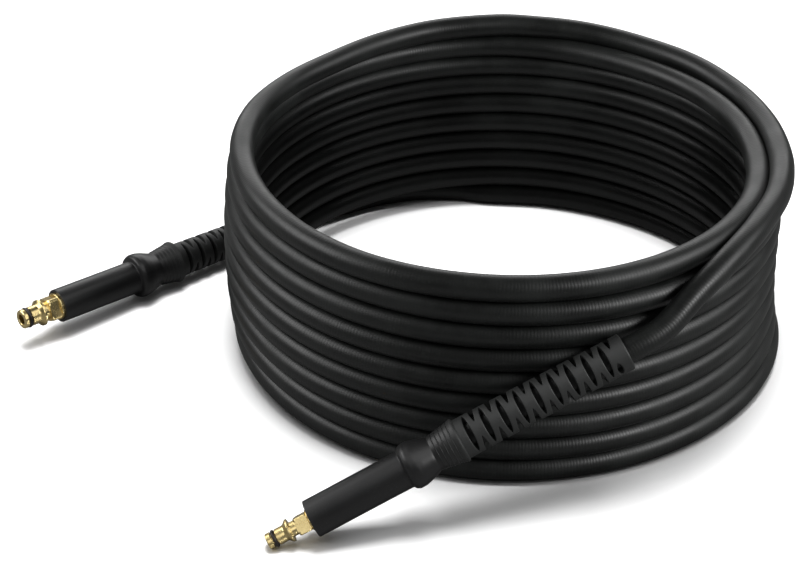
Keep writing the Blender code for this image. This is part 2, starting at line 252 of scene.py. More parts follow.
def fill_mesh(name, points, loops, totals, places):
    """Mesh put together from whole arrays of points, face corners, face sizes and UV places."""
    mesh = bpy.data.meshes.new(name)
    mesh.vertices.add(len(points))
    mesh.vertices.foreach_set("co", points.astype(np.float32).reshape(-1))
    mesh.loops.add(len(loops))
    mesh.loops.foreach_set("vertex_index", loops.astype(np.int32))
    mesh.polygons.add(len(totals))
    starts = np.concatenate([[0], np.cumsum(totals)[:-1]])
    mesh.polygons.foreach_set("loop_start", starts.astype(np.int32))
    layer = mesh.uv_layers.new(name="run")
    layer.data.foreach_set("uv", places.astype(np.float32).reshape(-1))
    mesh.update(calc_edges=True)
    mesh.validate()
    return mesh


def put(mesh, material, nodes, crease=35.0):
    """Object for a finished mesh, which rides on the one body and stands for its CAD nodes."""
    mesh.materials.append(material)
    mesh.shade_smooth()
    mesh.set_sharp_from_angle(angle=radians(crease))
    piece = bpy.data.objects.new(mesh.name, mesh)
    bpy.context.scene.collection.objects.link(piece)
    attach(piece, "root")
    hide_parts(*nodes)
    return piece


def weld(mesh, distance=1e-6):
    """Merges points that share a place."""
    bm = bmesh.new()
    bm.from_mesh(mesh)
    bmesh.ops.remove_doubles(bm, verts=bm.verts, dist=distance)
    bm.to_mesh(mesh)
    bm.free()


def eased(outline, steps=4, support=1.25):
    """Open outline of (radius, station, easing) with each corner rounded by a parabola.

    The parabola starts and ends the easing away from the corner, which is its middle control
    point, and a further point on each side keeps the flats beyond it flat when shaded.
    """
    places = [np.array(p[:2]) for p in outline]
    result = [places[0]]
    for back, here, on, spot in zip(places, places[1:], places[2:], outline[1:-1]):
        arms = [back - here, on - here]
        room = min(np.linalg.norm(arm) for arm in arms) * 0.45
        ease = min(spot[2], room / support)
        if ease <= 0:
            result.append(here)
            continue
        start, end = (here + unit(arm) * ease for arm in arms)
        t = np.linspace(0, 1, steps + 1)[:, None]
        result.append(here + unit(arms[0]) * ease * support)
        result.extend(start * (1 - t) ** 2 + 2 * here * t * (1 - t) + end * t ** 2)
        result.append(here + unit(arms[1]) * ease * support)
    result.append(places[-1])
    return np.array(result)


def distance_along(line):
    """Distance along a line from its first point to each point: the running sum of its steps."""
    return np.concatenate([[0.0], np.cumsum(np.linalg.norm(np.diff(line, axis=0), axis=1))])


# Frames of the two fittings

class Fitting:
    """Axes of a fitting: along runs from the sleeve's mouth to the coil, down and side across it."""

    def __init__(self, end, plug, rise=None):
        height, heading = end["height"], radians(end["heading"])
        if rise is None:
            rise = self.lean(height, plug)
        rise = radians(rise)
        self.along = np.array([cos(rise) * cos(heading), cos(rise) * sin(heading), sin(rise)])
        self.down = np.array([sin(rise) * cos(heading), sin(rise) * sin(heading), -cos(rise)])
        self.side = np.array([-sin(heading), cos(heading), 0.0])
        beside = COIL_RADIUS + HOSE / 2 + max(SLOTTED_START, COLLAR) / 2 + GAP
        radius = beside / abs(sin(heading - radians(end["angle"])))
        angle = radians(end["angle"])
        self.end = FOOT + np.array([radius * cos(angle), radius * sin(angle), height])
        self.mouth = self.end - self.along * PROTECTOR

    @staticmethod
    def lean(height, plug):
        """Rise that sets the plug's tip, or else the sleeve's mouth, on the floor below the end."""
        rise = 0.0
        for _ in range(12):
            tip = (height - plug["tip"] / 2 * cos(rise) - GAP) / (PROTECTOR + plug["length"])
            mouth = (height - SLEEVE / 2 * cos(rise) - GAP) / PROTECTOR
            rise = asin(min(tip, mouth))
        return degrees(rise)

    def place(self, radius, angle, station):
        """World points for arrays of radius, angle in radians and station along the fitting."""
        radius, angle, station = (a[..., None] for a in np.broadcast_arrays(radius, angle, station))
        across = np.cos(angle) * self.down + np.sin(angle) * self.side
        return self.mouth + station * self.along + radius * across


# Hose

def lead_point(angle, places, turn):
    """Route point beside the coil: places are hose diameters out from the middle of its turns."""
    radius = COIL_RADIUS + places * HOSE
    spot = [radius * cos(radians(angle)), radius * sin(radians(angle)), TURN_PITCH * (turn + 0.5)]
    return FOOT + np.array(spot)


def coil_points():
    """Middle line of the coiled turns, from the top turn at the back down to the floor.

    The line falls evenly with the turn, a little faster at the front than at the back. Each turn
    is a circle that sways out or in at its left and right by its own amount.
    """
    turn = np.arange(COILED_TURNS * POINTS_PER_TURN + 1) / POINTS_PER_TURN
    front = (1 - np.cos(2 * pi * turn)) / 2
    at_back = TOP_AT_BACK - DROP_AT_BACK * turn
    at_front = TOP_AT_FRONT - DROP_AT_FRONT * turn
    height = at_back * (1 - front) + at_front * front
    right = np.clip(-np.sin(2 * pi * turn), 0, None)
    left = np.clip(np.sin(2 * pi * turn), 0, None)
    order = turn - 0.25
    sway = left * (LEFT_SWAY[0] + LEFT_SWAY[1] * order + LEFT_SWAY[2] * order ** 2)
    order = np.clip(turn - 0.75, 0, None)
    sway += right * FIRST_RIGHT_SWAY * np.clip(order, 0, 1)
    sway += right ** 3 * LOWEST_RIGHT_SWAY * (order / (COILED_TURNS - 1)) ** 4
    for middle, spread, out, sink in TOP_BENDS:
        pull = np.exp(-((turn - middle) / spread) ** 2)
        sway += out * pull
        height -= sink * pull
    height = np.maximum(height, ON_FLOOR)
    radius = COIL_RADIUS + HOSE * sway
    angle = radians(90) + 2 * pi * turn
    flat = np.stack([radius * np.cos(angle), radius * np.sin(angle), height * HOSE], axis=-1)
    return FOOT + flat


def smooth_line(points, start_way, end_way, steps=16):
    """Catmull-Rom curve through points, leaving and reaching its ends along the given ways."""
    first = points[1] - start_way * 2 * np.linalg.norm(points[1] - points[0])
    last = points[-2] + end_way * 2 * np.linalg.norm(points[-1] - points[-2])
    chain = np.vstack([first, points, last])
    a, b, c, d = (chain[i:len(chain) - 3 + i, None] for i in range(4))
    t = (np.arange(steps) / steps)[None, :, None]
    line = b + (c - a) * t / 2 + (2 * a - 5 * b + 4 * c - d) * t ** 2 / 2
    line = line + (3 * b - a - 3 * c + d) * t ** 3 / 2
    return np.vstack([line.reshape(-1, 3), points[-1]])


def evenly(line, spacing):
    """Points at an even spacing along a line."""
    run = distance_along(line)
    count = int(round(run[-1] / spacing)) + 1
    at = np.linspace(0.0, run[-1], count)
    return np.stack([np.interp(at, run, line[:, k]) for k in range(3)], axis=-1)


def hose_line(front, rear):
    """Middle line of the whole hose, from inside the front cup to inside the rear cup."""
    insides = [f.mouth + f.along * HOSE_END for f in (front, rear)]
    clear = [f.end + f.along * HOSE / 4 for f in (front, rear)]
    route = [clear[0], *[lead_point(*spot) for spot in FRONT_ROUTE], *coil_points()]
    route += [*[lead_point(*spot) for spot in reversed(REAR_ROUTE)], clear[1]]
    line = smooth_line(np.array(route), front.along, -rear.along)
    return evenly(np.vstack([insides[0], line, insides[1]]), RING_SPACING)


def tube(name, line, radius, sides):
    """Round tube: a circle carried along a line, level side first, with a flat cap on each end."""
    way = unit(np.gradient(line, axis=0))
    side = unit(np.cross(way, [0.0, 0.0, 1.0]))
    up = np.cross(way, side)
    angle = 2 * pi * np.arange(sides) / sides
    ring = np.cos(angle)[None, :, None] * side[:, None] + np.sin(angle)[None, :, None] * up[:, None]
    caps = [(0, False), (len(line) - 1, True)]
    return mesh_of_grid(name, line[:, None] + radius * ring, distance_along(line), caps=caps)


# Bend protector

def waist_rings(stout):
    """Outline of the ringed waist: saw-tooth rings that climb part of the way to the second bulge.

    Stout is what an end's bulges add to their radius, and the waist takes a share of it.
    """
    low, high = FIRST_BULGE_END + 0.0012, SECOND_BULGE_START
    step = (high - low) / WAIST_RINGS
    points = []
    for i in range(WAIST_RINGS):
        climb = (SECOND_BULGE - WAIST) * WAIST_CLIMB * i / (WAIST_RINGS - 1)
        radius = (WAIST + climb) / 2 + stout * WAIST_STOUT
        start = low + step * i
        points.append((radius, start, 0.0002))
        points.append((radius + RING_TOOTH * 0.6, start + step * 0.80, 0.0003))
        points.append((radius + RING_TOOTH, start + step * 0.88, 0.0002))
        points.append((radius + RING_TOOTH, start + step * 0.96, 0.0002))
    return points


def sleeve_outline(stout):
    """Outside of the sleeve, both bulges and the waist, from the bore at the mouth upwards."""
    first, second = FIRST_BULGE / 2 + stout, SECOND_BULGE / 2 + stout
    return [
        (SLEEVE_BORE / 2, 0.0, 0.0),
        (SLEEVE / 2, 0.0, 0.0007),
        (SLEEVE / 2, FIRST_BULGE_START, 0.0004),
        (first - 0.0011, FIRST_BULGE_START + 0.0010, 0.0006),
        (first, FIRST_BULGE_START + 0.0031, 0.0010),
        (first - 0.0001, FIRST_BULGE_START + 0.0068, 0.0010),
        (first - 0.0010, FIRST_BULGE_START + 0.0102, 0.0008),
        (WAIST / 2 + 0.0005 + stout * WAIST_STOUT, FIRST_BULGE_END, 0.0006),
        *waist_rings(stout),
        (second - 0.0009, SECOND_BULGE_START, 0.0004),
        (second, SECOND_BULGE_END - 0.0010, 0.0006),
        (second, SECOND_BULGE_END, 0.0004),
        (SLOTTED_START / 2, SECOND_BULGE_END + 0.0006, 0.0003),
    ]


def slotted_radius(station):
    """Outer radius of the slotted part, which narrows evenly from the second bulge to the collar."""
    start, end = SECOND_BULGE_END + 0.0006, PROTECTOR - COLLAR_LENGTH
    share = np.clip((station - start) / (end - start), 0, 1)
    return (SLOTTED_START + (COLLAR - SLOTTED_START) * share) / 2


def slot_width(angle, row, slot_turn):
    """Half width of a row's two opposite slots at each angle: widest in the middle, none between.

    Each half width is the full one times a power of one minus the squared share of its reach.
    """
    middle = slotted_radius(FIRST_SLOT + SLOT_PITCH * row)
    reach = degrees(acos(SLOT_BRIDGE / 2 / middle))
    turn = slot_turn + 90 * (row % 2)
    slots = [(turn, reach), (turn + 180, reach)]
    if row == SLOT_ROWS - 1:
        shift = reach - LAST_SLOT_REACH
        slots = [(turn - shift, LAST_SLOT_REACH), (turn + 180, reach)]
    width = np.zeros_like(angle)
    for centre, half in slots:
        away = (np.degrees(angle) - centre + 180) % 360 - 180
        width += SLOT_WIDTH / 2 * np.clip(1 - (away / half) ** 2, 0, None) ** SLOT_FULLNESS
    return width


def rib_strip(low, high, low_width, high_width):
    """Outer surface between two rows of slots, with its edges eased down where a slot is open.

    Returns radius and station for each of the strip's points, from its low edge to its high one.
    """
    turn = np.radians(np.linspace(0, 90, 5))[:, None]
    start, end = low + low_width, high - high_width
    low_ease = np.minimum(SLOT_EDGE, low_width)
    high_ease = np.minimum(SLOT_EDGE, high_width)
    rise = start + low_ease * (1 - np.cos(turn))
    fall = end - high_ease * (1 - np.cos(turn[::-1]))
    middle = start + (end - start) * np.linspace(0.3, 0.7, 3)[:, None]
    station = np.vstack([rise, middle, fall])
    drop = np.vstack([
        low_ease * (1 - np.sin(turn)),
        np.zeros_like(middle),
        high_ease * (1 - np.sin(turn[::-1])),
    ])
    return slotted_radius(station) - drop, station


def across(outline, sides):
    """Radius and station of a turned outline, repeated for each side."""
    return tuple(np.repeat(outline[:, k:k + 1], sides, axis=1) for k in (0, 1))


def protector_mesh(name, fitting, slot_turn, stout):
    """One closed moulding: a ring between each two rows of slots, joined where no slot is cut."""
    sides = PROTECTOR_SIDES
    angle = 2 * pi * np.arange(sides) / sides
    bore = HOSE / 2 + GAP
    centres = FIRST_SLOT + SLOT_PITCH * np.arange(SLOT_ROWS)
    widths = [slot_width(angle, row, slot_turn) for row in range(SLOT_ROWS)]
    parts = []
    for row in range(SLOT_ROWS + 1):
        low_width = widths[row - 1] if row > 0 else None
        high_width = widths[row] if row < SLOT_ROWS else None
        if row == 0:
            outer, inner = first_ring(sides, centres[0], high_width, bore, stout)
        elif row == SLOT_ROWS:
            outer, inner = last_ring(sides, centres[-1], low_width, bore)
        else:
            outer = rib_strip(centres[row - 1], centres[row], low_width, high_width)
            inner = (np.full((2, sides), bore), np.stack([outer[1][-1], outer[1][0]]))
        parts.append(ring_mesh(outer, inner, angle, fitting, low_width, high_width))
    mesh = joined(name, parts)
    weld(mesh)
    return mesh


def first_ring(sides, centre, high_width, bore, stout):
    """Sleeve, bulges and waist up to the first row of slots, and the stepped bore inside them."""
    front = eased(sleeve_outline(stout))
    radius, station = across(front, sides)
    tail_radius, tail_station = rib_strip(front[-1, 1] + 0.0002, centre, np.zeros(sides), high_width)
    outer = (np.vstack([radius, tail_radius]), np.vstack([station, tail_station]))
    step = SLEEVE_BORE / 2 - bore
    inside = np.array([
        (bore, SLEEVE_BORE_DEPTH + step),
        (SLEEVE_BORE / 2, SLEEVE_BORE_DEPTH),
        (SLEEVE_BORE / 2, 0.0004),
    ])
    radius, station = across(inside, sides)
    edge = tail_station[-1:]
    return outer, (np.vstack([np.full((1, sides), bore), radius]), np.vstack([edge, station]))


def last_ring(sides, centre, low_width, bore):
    """End of the slotted part, the collar and its rounded end face."""
    high = centre + LAST_SLOT_TO_COLLAR
    head_radius, head_station = rib_strip(centre, high, low_width, np.zeros(sides))
    collar = eased([
        (COLLAR / 2, high + 0.0004, 0.0),
        (COLLAR / 2, PROTECTOR, 0.0009),
        (bore + 0.0002, PROTECTOR, 0.0),
    ])
    radius, station = across(collar, sides)
    outer = (np.vstack([head_radius, radius]), np.vstack([head_station, station]))
    inner_station = np.vstack([np.full((1, sides), PROTECTOR - 0.0004), head_station[:1]])
    return outer, (np.full((2, sides), bore), inner_station)


def ring_mesh(outer, inner, angle, fitting, low_width, high_width):
    """Closed ring from its outer and inner points, with no wall where its slots are shut."""
    radius = np.vstack([outer[0], inner[0]])
    station = np.vstack([outer[1], inner[1]])
    rows, sides = radius.shape
    keep = np.ones((rows, sides), dtype=bool)
    if high_width is not None:
        keep[len(outer[0]) - 1] = (high_width > 0) | (np.roll(high_width, -1) > 0)
    if low_width is not None:
        keep[rows - 1] = (low_width > 0) | (np.roll(low_width, -1) > 0)
    run = np.append(station.mean(axis=1), station[0].mean())
    points = fitting.place(radius, angle[None, :], station)
    return mesh_of_grid("ring", points, run, around_rows=True, keep=keep)


def joined(name, meshes):
    """One mesh of several, which are removed."""
    bm = bmesh.new()
    for mesh in meshes:
        bm.from_mesh(mesh)
        bpy.data.meshes.remove(mesh)
    result = bpy.data.meshes.new(name)
    bm.to_mesh(result)
    bm.free()
    return result


# Brass plugs, crimped cups and seals

def turned_mesh(name, outline, fitting, sides, first_angle=0.0, flats=None):
    """Closed outline turned round the fitting's axis.

    Where flats are given as (width, low, high), the radius between those stations is the smaller
    of the outline's own and of half the width over the cosine of the angle to the nearest flat.
    """
    angle = radians(first_angle) + 2 * pi * np.arange(sides) / sides
    radius, station = across(outline, sides)
    if flats:
        width, low, high = flats
        away = (angle - radians(first_angle) + pi / 4) % (pi / 2) - pi / 4
        flat = (station > low - 1e-6) & (station < high + 1e-6)
        radius = np.where(flat, np.minimum(radius, width / 2 / np.cos(away)), radius)
    points = fitting.place(radius, angle[None, :], station)
    run = distance_along(np.vstack([outline, outline[:1]]))
    return mesh_of_grid(name, points, run, around_rows=True)


def plug_stations(plug):
    """Stations of the plug's steps, from the tip's face at minus its length up to the mouth."""
    base = -plug["length"]
    groove_start = base + plug["groove_start"]
    groove_end = groove_start + plug["groove_width"]
    flange_start = groove_end + plug["stem"]
    flange_end = flange_start + plug["flange_length"]
    wrench_start = flange_end + plug["neck_length"]
    return base, groove_start, groove_end, flange_start, flange_end, wrench_start


def plug_mesh(name, plug, fitting, wrench_turn):
    """Bored plug: grooved tip, stem, ramped flange, neck, square wrench section, collar, shank."""
    base, groove_start, groove_end, flange_start, flange_end, wrench_start = plug_stations(plug)
    wrench_end = wrench_start + plug["wrench_length"]
    tip, bore, flange, neck = (plug[k] / 2 for k in ("tip", "bore", "flange", "neck"))
    wrench, collar, shank = (plug[k] / 2 for k in ("wrench", "collar", "shank"))
    groove = tip + plug["proud"] - plug["ring"] - GAP
    shank_start, shank_end = CUP_START - GAP, HOSE_END - GAP
    outline = eased([
        (bore + 0.0002, base, 0.0),
        (tip - CHAMFER, base, FINE_EDGE),
        (tip, base + CHAMFER, FINE_EDGE),
        (tip, groove_start, FINE_EDGE),
        (groove, groove_start, FINE_EDGE),
        (groove, groove_end, FINE_EDGE),
        (tip, groove_end, FINE_EDGE),
        (tip, flange_start, 0.0005),
        (flange, flange_end - plug["rim"], 0.0002),
        (flange, flange_end, FINE_EDGE),
        (neck, flange_end, 0.0003),
        (neck, wrench_start, 0.0003),
        (wrench - 2 * CHAMFER, wrench_start, FINE_EDGE),
        (wrench, wrench_start + 2 * CHAMFER, FINE_EDGE),
        (wrench, wrench_end - CHAMFER, FINE_EDGE),
        (wrench - CHAMFER, wrench_end, FINE_EDGE),
        (collar - 0.0004, wrench_end + 0.0001, 0.00005),
        (collar, wrench_end + 0.0004, FINE_EDGE),
        (collar, shank_start, 0.0002),
        (shank, shank_start, FINE_EDGE),
        (shank, shank_end, FINE_EDGE),
        (bore, shank_end, FINE_EDGE),
        (bore, base + 0.0003, 0.0),
    ])
    flats = (plug["flats"], wrench_start, wrench_end)
    return turned_mesh(name, outline, fitting, PLUG_SIDES, wrench_turn, flats)


def seal_mesh(name, plug, fitting):
    """Round rubber ring in the plug's groove: a circle turned round the axis."""
    thick = plug["ring"] / 2
    middle = plug["tip"] / 2 + plug["proud"] - thick
    height = plug_stations(plug)[1] + plug["groove_width"] / 2
    angle = -2 * pi * np.arange(SEAL_STEPS) / SEAL_STEPS
    outline = np.stack([middle - thick * np.cos(angle), height + thick * np.sin(-angle)], axis=-1)
    return turned_mesh(name, outline[::-1], fitting, SEAL_SIDES)


def cup_mesh(name, plug, fitting):
    """Brass cup over the hose end, with pressed rings round it and the shank through its lip."""
    outer = SLEEVE_BORE / 2 - GAP
    bore = HOSE / 2 + GAP
    hole = plug["shank"] / 2 + GAP
    end = CUP_START + CUP_LENGTH
    pitch = CRIMPS_LENGTH / CUP_CRIMPS
    pressed = []
    for i in range(CUP_CRIMPS):
        start = CUP_START + CRIMPS_START + pitch * i
        pressed.append((outer, start, CRIMP_EASE))
        pressed.append((outer - CRIMP_DEPTH, start + pitch * 0.25, CRIMP_EASE))
        pressed.append((outer - CRIMP_DEPTH, start + pitch * 0.50, CRIMP_EASE))
        pressed.append((outer, start + pitch * 0.75, CRIMP_EASE))
    outline = eased([
        (hole + 0.0001, CUP_START, 0.0),
        (outer, CUP_START, 0.0006),
        *pressed,
        (outer, end, 0.0003),
        (bore, end, 0.0002),
        (bore, CUP_START + CUP_LIP, 0.0003),
        (hole, CUP_START + CUP_LIP, 0.0002),
        (hole, CUP_START + 0.0001, 0.0),
    ])
    return turned_mesh(name, outline, fitting, CUP_SIDES)


# Materials

def add_node(tree, kind, sockets=None, **settings):
    """Adds a shader node, with links or constants on its named sockets."""
    item = tree.nodes.new(kind)
    for key, value in settings.items():
        setattr(item, key, value)
    for key, value in (sockets or {}).items():
        if isinstance(value, bpy.types.NodeSocket):
            tree.links.new(value, item.inputs[key])
        else:
            item.inputs[key].default_value = value
    return item


def new_group(name, inputs, outputs):
    """Shader node group with named float, vector or colour sockets."""
    tree = bpy.data.node_groups.new(name, "ShaderNodeTree")
    kinds = {"f": "NodeSocketFloat", "v": "NodeSocketVector", "c": "NodeSocketColor"}
    for label, (kind, value) in inputs.items():
        socket = tree.interface.new_socket(label, in_out="INPUT", socket_type=kinds[kind])
        if value is not None:
            socket.default_value = value
    for label, kind in outputs.items():
        tree.interface.new_socket(label, in_out="OUTPUT", socket_type=kinds[kind])
    return tree, tree.nodes.new("NodeGroupInput"), tree.nodes.new("NodeGroupOutput")


def maths(tree, operation, first, second=0.0, third=0.0):
    """Result socket of a Math node."""
    values = {0: first, 1: second, 2: third}
    return add_node(tree, "ShaderNodeMath", values, operation=operation).outputs[0]


def spread(tree, value, low, high, to_low=0.0, to_high=1.0):
    """Result socket of a Map Range node with its result held between the two ends."""
    sockets = {"Value": value, "From Min": low, "From Max": high, "To Min": to_low, "To Max": to_high}
    return add_node(tree, "ShaderNodeMapRange", sockets, clamp=True).outputs["Result"]


def scuff_group():
    """Sparse soft patches and fine specks of handling, as masks over the surface."""
    tree, given, result = new_group(
        "handling_scuffs", {"Place": ("v", None), "Size": ("f", 40.0)}, {"Patches": "f", "Specks": "f"})
    broad = add_node(tree, "ShaderNodeTexNoise", {
        "Vector": given.outputs["Place"], "Scale": given.outputs["Size"], "Detail": 4.0, "Roughness": 0.6})
    fine_scale = maths(tree, "MULTIPLY", given.outputs["Size"], 22.0)
    fine = add_node(tree, "ShaderNodeTexNoise", {
        "Vector": given.outputs["Place"], "Scale": fine_scale, "Detail": 2.0, "Roughness": 0.5})
    tree.links.new(spread(tree, broad.outputs["Fac"], 0.42, 0.68), result.inputs["Patches"])
    tree.links.new(spread(tree, fine.outputs["Fac"], 0.60, 0.78), result.inputs["Specks"])
    return tree


def run_marks_group():
    """Fine marks across the run of the surface, from its UV map: pitch in metres, as a height.

    Bands repeat along the run, waver with slow noise and fade in and out, so no two are alike.
    """
    tree, given, result = new_group(
        "cross_marks", {"Pitch": ("f", 0.001), "Waver": ("f", 0.5), "Round": ("f", 3.0)}, {"Height": "f"})
    run = add_node(tree, "ShaderNodeUVMap", uv_map="run")
    parts = add_node(tree, "ShaderNodeSeparateXYZ", {0: run.outputs["UV"]})
    share = maths(tree, "DIVIDE", parts.outputs["Y"], given.outputs["Pitch"])
    turn = maths(tree, "MULTIPLY", parts.outputs["X"], 2 * pi)
    wide = maths(tree, "MULTIPLY", maths(tree, "COSINE", turn), given.outputs["Round"])
    high = maths(tree, "MULTIPLY", maths(tree, "SINE", turn), given.outputs["Round"])
    place = add_node(tree, "ShaderNodeCombineXYZ", {"X": wide, "Y": high, "Z": share})
    waver = add_node(tree, "ShaderNodeTexNoise", {
        "Vector": place.outputs[0], "Scale": 0.35, "Detail": 3.0, "Roughness": 0.6})
    ripple = add_node(tree, "ShaderNodeTexNoise", {
        "Vector": place.outputs[0], "Scale": 1.6, "Detail": 2.0, "Roughness": 0.5})
    shifted = maths(tree, "MULTIPLY_ADD", waver.outputs["Fac"], given.outputs["Waver"], share)
    band = maths(tree, "SINE", maths(tree, "MULTIPLY", shifted, 2 * pi))
    faded = maths(tree, "MULTIPLY", band, spread(tree, ripple.outputs["Fac"], 0.25, 0.55))
    rough = maths(tree, "MULTIPLY", ripple.outputs["Fac"], 0.4)
    tree.links.new(maths(tree, "MULTIPLY_ADD", faded, 0.5, rough), result.inputs["Height"])
    return tree


def start_material(name, **settings):
    """Material with its Principled shader's constant sockets set."""
    material = bpy.data.materials.new(name)
    material.use_nodes = True
    tree = material.node_tree
    shader = tree.nodes["Principled BSDF"]
    for label, value in settings.items():
        shader.inputs[label.replace("_", " ")].default_value = value
    return material, tree, shader


def use_group(tree, group, **sockets):
    """Places a shared group with its own values."""
    return add_node(tree, "ShaderNodeGroup", sockets, node_tree=group)


def mixed(tree, share, first, second):
    """Colour that goes from the first to the second with a mask."""
    mix = add_node(tree, "ShaderNodeMix", data_type="RGBA")
    for index, value in ((0, share), (6, first), (7, second)):
        if isinstance(value, bpy.types.NodeSocket):
            tree.links.new(value, mix.inputs[index])
        else:
            mix.inputs[index].default_value = value
    return mix.outputs[2]


def bump(tree, shader, height, distance, strength=1.0):
    """Bump from a height to the shader's normal."""
    item = add_node(tree, "ShaderNodeBump", {
        "Height": height, "Distance": distance, "Strength": strength})
    tree.links.new(item.outputs["Normal"], shader.inputs["Normal"])


def hose_rubber(scuffs, marks):
    """Wrapped black rubber: semi-matte, with cloth-wrap marks across it and faint dust."""
    material, tree, shader = start_material("wrapped_hose_rubber", Specular_IOR_Level=0.5)
    place = add_node(tree, "ShaderNodeTexCoord").outputs["Object"]
    wear = use_group(tree, scuffs, Place=place, Size=30.0)
    wrap = use_group(tree, marks, Pitch=0.0018, Waver=1.2, Round=2.2)
    dark, pale = (0.0062, 0.0070, 0.0065, 1.0), (0.0125, 0.0142, 0.0132, 1.0)
    base = mixed(tree, wear.outputs["Patches"], dark, pale)
    dust = (0.035, 0.038, 0.036, 1.0)
    dusty = mixed(tree, maths(tree, "MULTIPLY", wear.outputs["Specks"], 0.3), base, dust)
    tree.links.new(dusty, shader.inputs["Base Color"])
    smooth = maths(tree, "MULTIPLY_ADD", wear.outputs["Patches"], 0.10, 0.40)
    rough = maths(tree, "MULTIPLY_ADD", wrap.outputs["Height"], 0.08, smooth)
    tree.links.new(rough, shader.inputs["Roughness"])
    bump(tree, shader, wrap.outputs["Height"], 0.000035)
    return material


def moulded_black(scuffs):
    """Moulded black plastic: smoother on the sleeve, matte with a fine grain on the slotted part."""
    material, tree, shader = start_material("moulded_black_plastic", Specular_IOR_Level=0.5)
    place = add_node(tree, "ShaderNodeTexCoord").outputs["Object"]
    wear = use_group(tree, scuffs, Place=place, Size=55.0)
    run = add_node(tree, "ShaderNodeUVMap", uv_map="run")
    station = add_node(tree, "ShaderNodeSeparateXYZ", {0: run.outputs["UV"]}).outputs["Y"]
    matte = spread(tree, station, FIRST_BULGE_END, SECOND_BULGE_END)
    grain = add_node(tree, "ShaderNodeTexNoise", {
        "Vector": place, "Scale": 2600.0, "Detail": 2.0, "Roughness": 0.5}).outputs["Fac"]
    sleeve, slotted = (0.0085, 0.0085, 0.0088, 1.0), (0.019, 0.020, 0.0195, 1.0)
    dust = (0.05, 0.05, 0.05, 1.0)
    base = mixed(tree, matte, sleeve, slotted)
    dusty = mixed(tree, maths(tree, "MULTIPLY", wear.outputs["Specks"], 0.3), base, dust)
    tree.links.new(dusty, shader.inputs["Base Color"])
    smooth = spread(tree, matte, 0.0, 1.0, 0.38, 0.50)
    rough = maths(tree, "MULTIPLY_ADD", wear.outputs["Patches"], 0.08, smooth)
    tree.links.new(rough, shader.inputs["Roughness"])
    bump(tree, shader, grain, 0.00003, 0.6)
    return material


def machined_brass(scuffs, marks):
    """Polished turned brass: fine tool rings, slight tarnish and duller patches."""
    material, tree, shader = start_material("machined_brass", Metallic=1.0)
    place = add_node(tree, "ShaderNodeTexCoord").outputs["Object"]
    wear = use_group(tree, scuffs, Place=place, Size=160.0)
    rings = use_group(tree, marks, Pitch=0.00016, Waver=0.6, Round=0.3)
    clean, brown = (0.86, 0.69, 0.33, 1.0), (0.62, 0.45, 0.18, 1.0)
    tarnish = maths(tree, "MULTIPLY", wear.outputs["Patches"], 0.35)
    tree.links.new(mixed(tree, tarnish, clean, brown), shader.inputs["Base Color"])
    rough = maths(tree, "MULTIPLY_ADD", wear.outputs["Patches"], 0.10, 0.22)
    tree.links.new(rough, shader.inputs["Roughness"])
    bump(tree, shader, rings.outputs["Height"], 0.000006, 0.5)
    return material


def seal_rubber(scuffs):
    """Dark seal rubber with a faint sheen of grease."""
    material, tree, shader = start_material("seal_rubber_black", Specular_IOR_Level=0.5)
    place = add_node(tree, "ShaderNodeTexCoord").outputs["Object"]
    wear = use_group(tree, scuffs, Place=place, Size=240.0)
    dark, pale = (0.012, 0.009, 0.008, 1.0), (0.024, 0.019, 0.016, 1.0)
    tree.links.new(mixed(tree, wear.outputs["Patches"], dark, pale), shader.inputs["Base Color"])
    rough = spread(tree, wear.outputs["Patches"], 0.0, 1.0, 0.28, 0.45)
    tree.links.new(rough, shader.inputs["Roughness"])
    return material


# Camera, floor and light

def make_camera():
    """Camera at the photograph's angle, level and looking down along the frame's y axis."""
    camera = bpy.data.objects.new("camera", bpy.data.cameras.new("camera"))
    camera.data.lens = LENS
    camera.data.clip_start = 0.01
    camera.location = FOOT + np.array(CAMERA_PLACE) * HOSE
    camera.rotation_euler = (radians(90 - CAMERA_PITCH), 0.0, 0.0)
    bpy.context.scene.collection.objects.link(camera)
    bpy.context.scene.camera = camera


def seen_directly(tree, unseen, seen, mirrored=None):
    """Value for what the camera sees directly, and others for reflections and for bounced light."""
    path = add_node(tree, "ShaderNodeLightPath")
    if mirrored is not None:
        unseen = spread(tree, path.outputs["Is Glossy Ray"], 0.0, 1.0, unseen, mirrored)
    return spread(tree, path.outputs["Is Camera Ray"], 0.0, 1.0, unseen, seen)


def make_floor():
    """Plain pale floor, just under the object."""
    half, low = FLOOR_HALF_WIDTH, FLOOR_HEIGHT
    mesh = bpy.data.meshes.new("floor")
    corners = [(-half, -half, low), (half, -half, low), (half, half, low), (-half, half, low)]
    mesh.from_pydata(corners, [], [(0, 1, 2, 3)])
    material, tree, shader = start_material("white_floor", Roughness=0.9, Specular_IOR_Level=0.1)
    grey = seen_directly(tree, FLOOR_BOUNCE, FLOOR_WHITE, FLOOR_MIRRORED)
    tree.links.new(add_node(tree, "ShaderNodeCombineColor", {0: grey, 1: grey, 2: grey}).outputs[0],
                   shader.inputs["Base Color"])
    mesh.materials.append(material)
    floor = bpy.data.objects.new("floor", mesh)
    bpy.context.scene.collection.objects.link(floor)
    return floor


